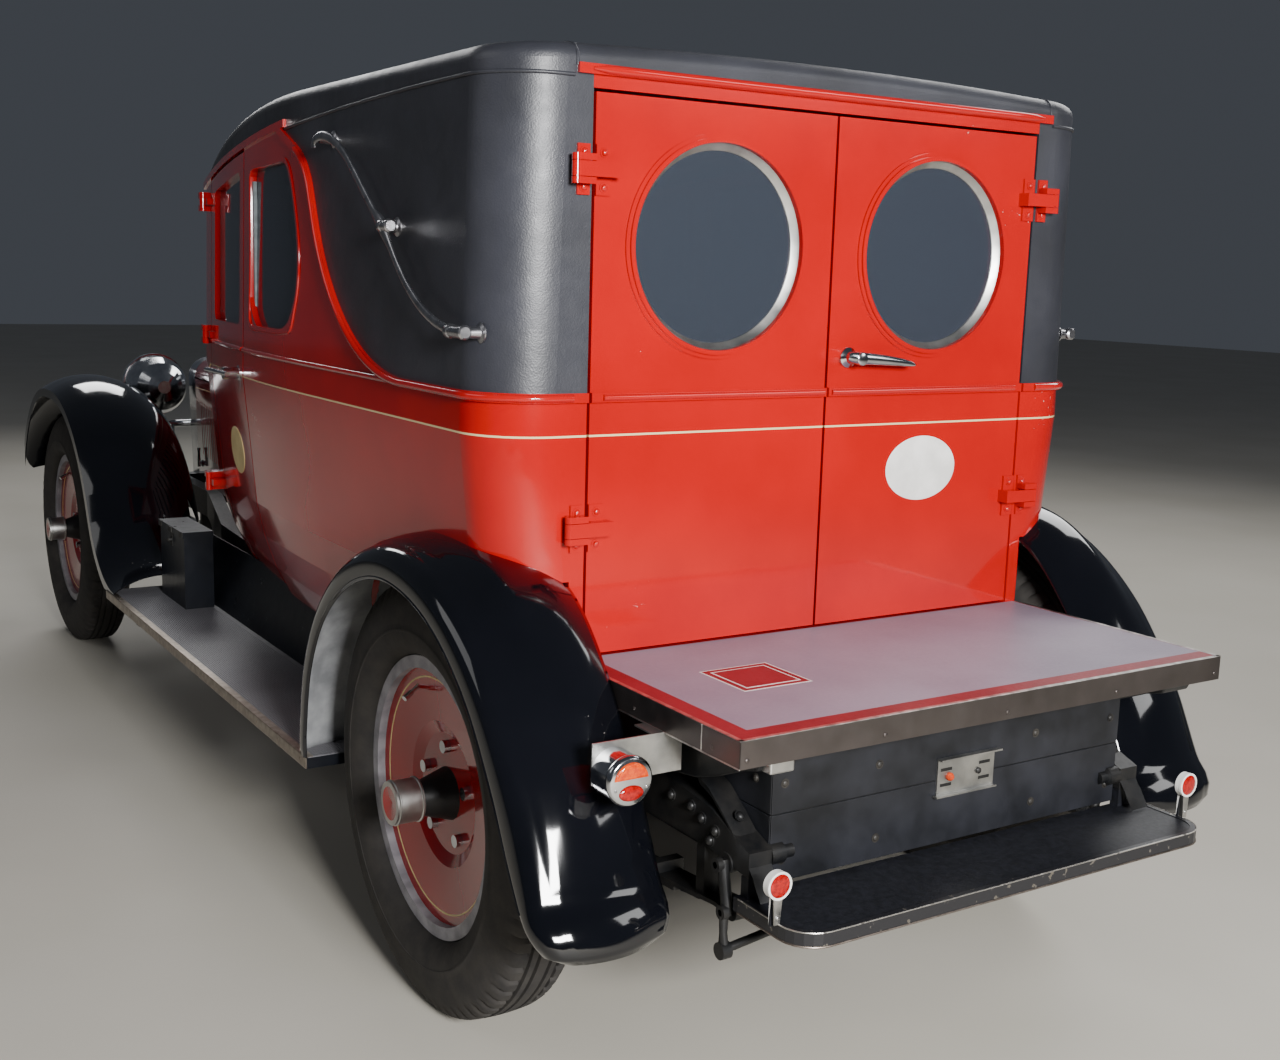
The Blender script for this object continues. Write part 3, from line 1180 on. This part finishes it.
# %% Mats, edgings and the hasp
BOARD_IN, BOARD_OUT, BOARD_REAR, BOARD_FRONT, BOARD_TOP = 0.600, 0.855, 0.463, 2.397, 0.400
satin_black = matt("satin_black_paint", "#0f1116", "#171a21", 0.3, 200, 0.1, 30.0)
board_sheet = matt("grey_board_mat", "#6b6a6e", "#78777b", 0.42, 260, 0.12)
edge_metal = metal("aluminium_edging", "#8b8176", "#a79c90", 0.34, 18, 0.08)
finish("running_boards", satin_black)
MAT, RIB_PITCH, RIB_WIDTH, RIB_RISE = 0.0014, 0.006, 0.0022, 0.0010
BOX_INNER, BOX_OUTER, BOX_REAR = 0.606, 0.703, 2.004
EDGE_SECTION = [(0, -0.0255), (0.0020, -0.0255), (0.0030, -0.022), (0.0030, 0.000), (0.0020, 0.0030)]
EDGE_SECTION += [(-0.016, 0.0030), (-0.016, MAT), (0, MAT)]
mat_top = BOARD_TOP + MAT
for side, way in SIDES:
    low_x, high_x = sorted((way * BOARD_IN, way * (BOARD_OUT - 0.004)))
    mat = plate(bmesh.new(), at(low_x, BOARD_REAR, BOARD_TOP), at(high_x, BOARD_FRONT, mat_top))
    ribs = int((high_x - low_x - 2 * RIB_PITCH) / RIB_PITCH)
    for i in range(ribs):
        x = low_x + RIB_PITCH + i * RIB_PITCH
        stop = BOX_REAR if BOX_INNER < abs(x) < BOX_OUTER and way < 0 else BOARD_FRONT - 0.002
        plate(mat, at(x, BOARD_REAR + 0.002, mat_top), at(x + RIB_WIDTH, stop, mat_top + RIB_RISE))
    new_piece(f"running_board_mat_{side}", mat, board_sheet, "body", smooth=False)
    stations = [(at(way * BOARD_OUT, s, BOARD_TOP), (way, 0, 0), UPWARD) for s in (BOARD_REAR, BOARD_FRONT)]
    edge = swept(bmesh.new(), stations, EDGE_SECTION)
    for i in range(13):
        place = at(way * (BOARD_OUT + 0.003), 0.50 + i * 0.155, 0.389)
        dome_bolt(edge, place, (way, 0, 0), 0.0036, 0.0012, 0.0003)
    new_piece(f"running_board_edge_{side}", edge, edge_metal, "body", smooth=False)
hasp = bmesh.new()
plate(hasp, at(-0.7025, 2.136, 0.585), at(-0.7000, 2.164, 0.6285))
plate(hasp, at(-0.7080, 2.130, 0.632), at(-0.7050, 2.170, 0.648))
turned(hasp, [(0, 0.008), (0.010, 0.008), (0.013, 0.005), (0.013, 0)], at(-0.7025, 2.150, 0.605), (-1, 0, 0), 20)
for s in (2.035, 2.265):
    plate(hasp, at(-0.7065, s - 0.012, 0.631), at(-0.7050, s + 0.012, 0.649))
new_piece("side_box_hasp", hasp, iron_oily, "body", smooth=False, bevel=0.0008)
print("boards with", ribs, "ribs")

# %% [markdown]
# ## Lamps and radiator
# The headlamps are plated drums with a fluted glass in a plated rim. The flutes are upright ribs in the
# glass, about 6 mm apart, that spread the light sideways. The radiator's core is a stack of thin fins and
# tubes. They are laid as real strips wherever a line shot from the front meets the core's solid.


# %% Headlamp glasses and radiator grid
def fluted_glass(name, tint, spacing):
    """Clear pressed glass with upright flutes, spacing millimetres apart."""
    material, tree, shader, place = new_material(
        name, Roughness=0.05, Transmission_Weight=0.85, IOR=1.5, Base_Color=linear(tint)
    )
    scale = 1000 / spacing / (2 * math.pi)
    waves = add_node(tree, "ShaderNodeTexWave", {"Vector": place, "Scale": scale}, bands_direction="X")
    bumped(tree, shader, waves.outputs["Fac"], 1.2, 0.8)
    return material


lamp_flutes = fluted_glass("fluted_lamp_glass", "#dfe5e6", 6)
RIM = [(-0.016, 0.1125), (-0.014, 0.1165), (0.002, 0.1165), (0.006, 0.1120), (0.005, 0.1040), (0.000, 0.1030)]
for side, way in SIDES:
    drum = surface_hit("headlamps", (way * 0.391, 3.0, 0.991), BACKWARD)
    rim = turned(bmesh.new(), RIM, drum, FORWARD, 72)
    new_piece(f"headlamp_rim_{side}", rim, bright_plate, "body")
    outline = ellipse(drum + FORWARD * 0.001, ACROSS, UPWARD, 0.104, 0.104, steps=64)
    glass = domed(bmesh.new(), outline, FORWARD, 0.012)
    new_piece(f"headlamp_glass_{side}", glass, lamp_flutes, "body")
core_low, core_high = corners("radiator_core")
grid = bmesh.new()
fins = 0
FIN_PITCH, PROBE_STEP = 0.0085, 0.008


def on_core(x, z):
    """Whether a line shot from the front meets the core at this place."""
    return surface_hit("radiator_core", (x, 3, z), BACKWARD) is not None


for i in range(int((core_high.x - core_low.x) / FIN_PITCH)):
    x = core_low.x + (i + 0.5) * FIN_PITCH
    tried = [core_low.z + 0.004 + PROBE_STEP * k for k in range(60)]
    reach = [z for z in tried if on_core(x, z)]
    if reach:
        plate(grid, (x - 0.0007, core_high.y, reach[0]), (x + 0.0007, core_high.y + 0.004, reach[-1]))
        fins += 1
for k in range(int((core_high.z - core_low.z) / FIN_PITCH)):
    z = core_low.z + (k + 0.5) * FIN_PITCH
    reach = [PROBE_STEP * i for i in range(34) if on_core(PROBE_STEP * i, z)]
    if reach:
        plate(grid, (-reach[-1], core_high.y, z - 0.0006), (reach[-1], core_high.y + 0.003, z + 0.0006))
        fins += 1
new_piece("radiator_grid", grid, grey_metal, "body", smooth=False)
catches = bmesh.new()
for way in (-1, 1):
    for s in (2.420, 3.230):
        place = skin_point("hood_sides", s, 0.700, way)
        boss = [(0, 0.013), (0.003, 0.013), (0.006, 0.008), (0.018, 0.006), (0.020, 0)]
        turned(catches, boss, place, (way, 0, 0), 20)
        line = [place + Vector((way * 0.015, 0, rise)) for rise in (-0.012, 0.010, 0.045, 0.062)]
        followed(catches, line, [0.006, 0.006, 0.005, 0.007], sides=10)
new_piece("hood_catches", catches, bright_plate, "body")
print("radiator strips", fins)

# %% [markdown]
# ## Inside the cab and the load space
# Through the glass and the open doors one sees a gear lever and a hand brake, three pedals, and the floor
# with its metal runners, on which the load slides. They are turned and bent rods and plain plates.

# %% Levers, pedals and runners
levers = bmesh.new()
followed(
    levers,
    [at(-0.02, 1.860, 0.630), at(-0.02, 1.850, 0.780), at(-0.03, 1.800, 0.930), at(-0.04, 1.770, 1.020)],
    [0.009, 0.008, 0.007, 0.006],
)
knob = [(-0.018, 0), (-0.016, 0.014), (0, 0.021), (0.014, 0.017), (0.020, 0)]
turned(levers, knob, at(-0.041, 1.768, 1.030), (-0.1, -0.2, 1), 24)
brake = [at(0.07, 1.800, 0.630), at(0.07, 1.800, 0.800), at(0.07, 1.760, 0.960), at(0.07, 1.745, 1.000)]
followed(levers, brake, [0.010, 0.009, 0.009, 0.012], flat=0.6)
boot = [(-0.03, 0), (-0.03, 0.045), (0, 0.055), (0.012, 0.040), (0.012, 0)]
turned(levers, boot, at(-0.02, 1.860, 0.636), UPWARD, 28)
for x in (-0.450, -0.300, -0.190):
    followed(levers, [at(x, 2.110, 0.665), at(x, 2.090, 0.740), at(x, 2.060, 0.775)], 0.007)
    plate(levers, at(x - 0.030, 2.040, 0.762), at(x + 0.030, 2.052, 0.832))
new_piece("cab_levers", levers, satin_black, "body", bevel=0.0015)
runners = bmesh.new()
floor_top = surface_hit("floor", at(0, 0.5, 1.5), -UPWARD).z
runner_top = floor_top + 0.0045
for x in (-0.42, -0.15, 0.15, 0.42):
    plate(runners, at(x - 0.014, -0.190, floor_top), at(x + 0.014, 1.050, runner_top))
    for i in range(7):
        dome_bolt(runners, at(x, -0.15 + i * 0.19, runner_top), UPWARD, 0.005, 0.001, 0.0002)
new_piece("load_runners", runners, grey_metal, "body", smooth=False, bevel=0.001)
print("floor top", round(floor_top, 4))

# %% [markdown]
# ## Seat
# The driver's seat is a leather bench: a cushion and a back, stuffed and stitched into upright channels. Each pad
# starts as a rounded block a little smaller than its solid. Cloth under air pressure then blows it up, held back
# at its base, and the channels are pressed in afterwards. That gives the crowned top and the pulled-in corners
# that a modelled block never has.


# %% Pads blown up as cloth
CLOTH_FRAMES = 20


def settle_pad(pad, cap, pin_low):
    """Blows a pad up for a few frames and keeps each point's move under a cap."""
    mesh = pad.data
    start = [v.co.copy() for v in mesh.vertices]
    pinned = pad.vertex_groups.new(name="held")
    held = [i for i, place in enumerate(start) if pin_low(place)]
    pinned.add(held, 1.0, "REPLACE")
    cloth = pad.modifiers.new("air", "CLOTH")
    settings = cloth.settings
    settings.quality = 6
    settings.mass = 0.4
    settings.tension_stiffness = 12
    settings.compression_stiffness = 12
    settings.use_pressure = True
    settings.uniform_pressure_force = 4
    settings.vertex_group_mass = "held"
    settings.effector_weights.gravity = 0
    cloth.point_cache.frame_start = 1
    cloth.point_cache.frame_end = CLOTH_FRAMES
    for step in range(1, CLOTH_FRAMES + 1):
        bpy.context.scene.frame_set(step)
    graph = bpy.context.evaluated_depsgraph_get()
    blown = [v.co.copy() for v in pad.evaluated_get(graph).to_mesh().vertices]
    pad.evaluated_get(graph).to_mesh_clear()
    pad.modifiers.remove(cloth)
    moved = 0.0
    for vertex, old, new in zip(mesh.vertices, start, blown):
        shift = new - old
        if shift.length > cap:
            shift *= cap / shift.length
        vertex.co = old + shift
        moved = max(moved, shift.length)
    bpy.context.scene.frame_set(1)
    return moved


CHANNEL = 0.112
CHANNEL_DEPTH = 0.009
MOVE_CAP = 0.016
HELD_BASE = 0.012
pads = []
for name, low, high, grows in (
    ("cushion", at(-0.545, 1.115, 0.872), at(0.545, 1.548, 0.988), "z"),
    ("back", at(-0.545, 1.012, 0.995), at(0.545, 1.098, 1.418), "y"),
):
    maker = plate(bmesh.new(), low, high)
    mesh = bpy.data.meshes.new(f"seat_{name}")
    maker.to_mesh(mesh)
    maker.free()
    pad = bpy.data.objects.new(f"seat_{name}", mesh)
    bpy.context.scene.collection.objects.link(pad)
    rounding = pad.modifiers.new("rounded", "BEVEL")
    rounding.width = 0.030
    rounding.segments = 4
    remesh = pad.modifiers.new("even faces", "REMESH")
    remesh.mode = "VOXEL"
    remesh.voxel_size = 0.012
    graph = bpy.context.evaluated_depsgraph_get()
    even = bpy.data.meshes.new_from_object(pad.evaluated_get(graph))
    pad.modifiers.clear()
    pad.data = even
    axis = "xyz".index(grows)
    moved = 0.0
    moved = settle_pad(pad, MOVE_CAP, lambda p: p[axis] < low[axis] + HELD_BASE)
    for vertex in pad.data.vertices:
        place = vertex.co
        phase = abs((place.x / CHANNEL) % 1.0 - 0.5) * 2
        groove = CHANNEL_DEPTH * (1 - math.sqrt(max(0.0, 1 - phase**6)))
        place[axis] -= groove * ramp((place[axis] - low[axis]) / (high[axis] - low[axis]), 0.45, 0.8)
    pad.data.materials.clear()
    pad.data.materials.append(seat_leather)
    for face in pad.data.polygons:
        face.use_smooth = True
    finer = pad.modifiers.new("finer", "SUBSURF")
    finer.levels = finer.render_levels = 1
    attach(pad, "body")
    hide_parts("seat")
    pads.append(pad)
    print(name, "points", len(pad.data.vertices), "moved up to", round(moved, 4))
frame_box = bmesh.new()
plate(frame_box, at(-0.556, 1.104, 0.830), at(0.556, 1.556, 0.868))
plate(frame_box, at(-0.520, 1.150, 0.628), at(0.520, 1.520, 0.830))
plate(frame_box, at(-0.556, 1.001, 0.860), at(0.556, 1.014, 1.420))
base_piece = new_piece("seat_base", frame_box, seat_leather, "body", smooth=False, bevel=0.004)
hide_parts("seat")
welt = bmesh.new()
for height, ahead in ((0.872, 1.552), (0.990, 1.548)):
    followed(welt, [at(x, ahead, height) for x in (-0.545, -0.3, 0, 0.3, 0.545)], 0.004, sides=8)
new_piece("seat_welts", welt, seat_leather, "body")
print("seat of", len(pads), "pads")

# %% [markdown]
# ## Window frames, the swept moulding and the roof's piping
# The quarter window sits in a thin frame whose rear edge is one smooth bow. The moulding along the leathercloth is
# half round, and above the quarters the roof's leather is welted to the sides with a sewn piping that has a
# mitre at each rear corner. All three follow the panels: their points are shot at the solids from outside.


# %% Frames, moulding and piping
WINDOW_BOW = [(1.166, 1.380), (1.166, 1.530), (1.166, 1.690), (1.160, 1.715), (1.140, 1.727), (1.050, 1.7295)]
WINDOW_BOW += [(0.950, 1.7325), (0.880, 1.7335), (0.848, 1.722), (0.824, 1.694), (0.797, 1.635), (0.774, 1.570)]
WINDOW_BOW += [(0.763, 1.510), (0.769, 1.450), (0.791, 1.400), (0.827, 1.362), (0.872, 1.344), (0.935, 1.3395)]
WINDOW_BOW += [(1.050, 1.3395), (1.138, 1.340), (1.160, 1.352)]
SHARP_CORNER = Vector((0.812, 1.343))


def bow_points(step=0.012):
    """The quarter window's inner outline as an even closed loop."""
    loop = [Vector(p) for p in WINDOW_BOW]
    whole = curve_through(loop[-2:] + loop + loop[:2], step)
    start = min(range(len(whole)), key=lambda i: (whole[i] - loop[0]).length)
    near = [i for i, p in enumerate(whole) if (p - loop[0]).length < step / 2]
    return whole[start : near[-1]]


def outer_points(loop):
    """The frame's outer outline: 15 mm out, and more where the solid's corner is sharp."""
    count = len(loop)
    out = []
    for i, p in enumerate(loop):
        run = (loop[(i + 1) % count] - loop[i - 1]).normalized()
        away = Vector((-run.y, run.x))
        if away.dot(p - Vector((0.96, 1.54))) < 0:
            away = -away
        out.append(p + away * (0.015 + 0.024 * math.exp(-(((p - SHARP_CORNER).length / 0.034) ** 2))))
    return out


def s_line(offset, step=0.012):
    """The swept line between leathercloth and paint, as ahead and height, from the rear to the front."""
    place, heading = Vector((0.130, 1.279 - offset)), 0.0
    line = [place.copy()]
    for radius, turn in ((0.552 + offset, 66), (None, 0.060), (0.200 - offset, -44)):
        length = turn if radius is None else abs(math.radians(turn)) * radius
        count = max(1, round(length / step))
        for _ in range(count):
            bend = 0.0 if radius is None else math.radians(turn) / count
            heading += bend / 2
            place = place + Vector((math.cos(heading), math.sin(heading))) * (length / count)
            heading += bend / 2
            line.append(place.copy())
    return line


def seam_height(ahead):
    """Height of the roof's seam: an arc through three places, flat enough to be taken as a parabola."""
    (s1, z1), (s2, z2), (s3, z3) = ((-0.360, 1.846), (0.800, 1.817), (1.970, 1.700))
    return (
        z1 * (ahead - s2) * (ahead - s3) / ((s1 - s2) * (s1 - s3))
        + z2 * (ahead - s1) * (ahead - s3) / ((s2 - s1) * (s2 - s3))
        + z3 * (ahead - s1) * (ahead - s2) / ((s3 - s1) * (s3 - s2))
    )


def shot_ahead(node, low_x, high_x, height, count):
    """Points on a node's rear face, shot at it from behind along one level line."""
    line = [low_x + (high_x - low_x) * i / count for i in range(count + 1)]
    hits = [surface_hit(node, (x, -3, height), FORWARD) for x in line]
    return [p for p in hits if p and abs(p.y - door_low.y) < 0.06]


CORNER = (0.600, -0.100)


def round_corner(node, way, height, degrees, proud):
    """Points round a rear corner of the body, shot at its middle, standing out by proud."""
    level = at(way * CORNER[0], CORNER[1], height)
    found = []
    for turn in degrees:
        a = math.radians(turn)
        aim = Vector((way * math.cos(a), -math.sin(a), 0))
        hit = surface_hit(node, level + aim * 0.9, -aim)
        if hit and (hit - level).length > 0.08:
            found.append(hit + aim * proud)
    return found


for side, low_x, high_x in (("left", -0.611, -0.010), ("right", 0.010, 0.611)):
    node = f"rear_door_{side}"
    bead = followed(bmesh.new(), shot_ahead(node, low_x, high_x, BELT_HEIGHT, 24), 0.0062)
    new_piece(f"belt_bead_rear_{side}", bead, red_plain, node)
row = shot_ahead("body_trim", -0.602, 0.602, 1.856, 40)
header = followed(bmesh.new(), row, [0.003, 0.0078] + [0.0088] * (len(row) - 4) + [0.0078, 0.003], sides=14)
new_piece("header_bead", header, red_plain, "body")
print("header bead points", len(row))
FRAME_ROWS = ((1.0, -0.001), (0.93, 0.0026), (0.5, 0.0032), (0.08, 0.0026), (0.0, 0.0005), (0.0, -0.016))
inner_loop = bow_points()
outer_loop = outer_points(inner_loop)
for side, way in SIDES:
    samples = [(p, skin_point("body_shell", p.x, p.y, way)) for p in outer_loop]
    samples = [(p, hit.x) for p, hit in samples if hit and abs(hit.x) > 0.5]
    terms = [[1, p.x, p.y, p.y * p.y] for p, _ in samples]
    fitted = numpy.linalg.lstsq(numpy.array(terms), numpy.array([x for _, x in samples]), rcond=None)[0]

    def skin_x(p):
        return float(fitted[0] + fitted[1] * p.x + fitted[2] * p.y + fitted[3] * p.y * p.y)

    frame_maker = bmesh.new()
    rings = []
    for share, proud in FRAME_ROWS:
        ring = [inner.lerp(outer, share) for inner, outer in zip(inner_loop, outer_loop)]
        rings.append([frame_maker.verts.new(at(skin_x(p) + way * proud, p.x, p.y)) for p in ring])
    bridged(frame_maker, rings, capped=False)
    new_piece(f"quarter_frame_{side}", frame_maker, red_plain, "body")
    path = round_corner("body_trim", way, BELT_HEIGHT, range(90, 2, -3), -0.001)
    level = [(s, BELT_HEIGHT) for s in (-0.08, -0.04, 0.0, 0.04, 0.08)]
    path += [skin_point("body_trim", s, z, way, -0.001) for s, z in level + [tuple(p) for p in s_line(0.009)]]
    moulding = followed(bmesh.new(), [p for p in path if p and abs(p.x) > 0.5], 0.0078, sides=14)
    new_piece(f"swept_moulding_{side}", moulding, red_plain, "body")
    rows = [0.86 - 0.03 * i for i in range(32)]
    path = [skin_point("quarters", s, seam_height(s) - 0.004, way, 0.001) for s in rows]
    path += round_corner("quarters", way, seam_height(-0.2) - 0.004, range(4, 92, 4), 0.001)
    path = [p for p in path if p]
    piping = followed(bmesh.new(), path, 0.0036, sides=10)
    mitre = []
    level = at(way * CORNER[0], -0.040, 1.700)
    for degrees in range(36, 84, 4):
        a = math.radians(degrees)
        aim = Vector((0, -math.cos(a), math.sin(a)))
        hit = surface_hit("roof", level + aim * 0.6, -aim)
        if hit:
            mitre.append(hit + aim * 0.0004)
    if len(mitre) > 2:
        followed(piping, mitre, 0.0032, sides=10)
    new_piece(f"roof_piping_{side}", piping, black_leathercloth, "body")
    print(side, "samples", len(samples), "piping points", len(path), "mitre", len(mitre))

# %% [markdown]
# ## Studio
# The floor is a large pale sheet. Five soft lights stand round the vehicle, the strongest behind it, where
# the photograph's light comes from. The camera stands where the photograph was taken: its place and angle
# were worked out from the wheels, the doors and the roof, and its focal length fits the picture's width.


# %% Floor and lights
def soft_light(name, place, target, size, power):
    """An area light at a place, aimed at a target."""
    data = bpy.data.lights.new(name, "AREA")
    data.shape = "RECTANGLE"
    data.size, data.size_y = size
    data.energy = power
    light = bpy.data.objects.new(name, data)
    bpy.context.scene.collection.objects.link(light)
    light.location = place
    light.rotation_euler = (Vector(target) - Vector(place)).to_track_quat("-Z", "Y").to_euler()


floor_mesh = bpy.data.meshes.new("studio_floor")
REACH = 30
floor_corners = [(-REACH, -REACH, 0), (REACH, -REACH, 0), (REACH, REACH, 0), (-REACH, REACH, 0)]
floor_mesh.from_pydata(floor_corners, [], [(0, 1, 2, 3)])
studio_floor = bpy.data.objects.new("studio_floor", floor_mesh)
bpy.context.scene.collection.objects.link(studio_floor)
floor_mesh.materials.append(matt("pale_floor", "#bdb8ac", "#c3beb3", 0.6, 900, 0.05))

soft_light("rear_light", (-1.35, -6.3, 2.3), (-0.4, -1.6, 1.1), (1.1, 0.9), 560)
soft_light("sky_light", (3.6, -6.0, 3.4), (0.0, -1.6, 1.0), (2.2, 1.6), 60)
soft_light("left_light", (-6.5, 0.8, 5.0), (0, 0, 0.6), (4.0, 2.5), 45)
soft_light("right_light", (5.5, 0.5, 5.0), (0, 0, 1.0), (4.0, 3.0), 200)
soft_light("front_light", (0.5, 7.0, 5.0), (0, 0, 0.8), (3.0, 2.0), 160)
world = bpy.data.worlds.new("studio")
bpy.context.scene.world = world
world.use_nodes = True
sky = world.node_tree.nodes["Background"].inputs
sky["Color"].default_value = linear("#aab2c0")
sky["Strength"].default_value = 0.13
print("a floor and five lights")

# %% Camera where the photograph was taken
CAMERA_PLACE = Vector((-1.9445, rear_axle_y - 2.6173, 1.5041))
YAW, PITCH, ROLL = 0.5676, 0.174, 0.0288
LENS_MM, SENSOR_MM = 41.46, 36
forward = Vector((math.sin(YAW) * math.cos(PITCH), math.cos(YAW) * math.cos(PITCH), -math.sin(PITCH)))
level_right = Vector((math.cos(YAW), -math.sin(YAW), 0))
level_up = level_right.cross(forward)
right = math.cos(ROLL) * level_right + math.sin(ROLL) * level_up
up = -math.sin(ROLL) * level_right + math.cos(ROLL) * level_up
camera_data = bpy.data.cameras.new("camera")
camera_data.lens = LENS_MM
camera_data.sensor_width = SENSOR_MM
camera_data.clip_end = 200
camera = bpy.data.objects.new("camera", camera_data)
bpy.context.scene.collection.objects.link(camera)
camera.matrix_world = Matrix(
    (
        (right.x, up.x, -forward.x, CAMERA_PLACE.x),
        (right.y, up.y, -forward.y, CAMERA_PLACE.y),
        (right.z, up.z, -forward.z, CAMERA_PLACE.z),
        (0, 0, 0, 1),
    )
)
bpy.context.scene.camera = camera
print("camera at", [round(c, 3) for c in CAMERA_PLACE])
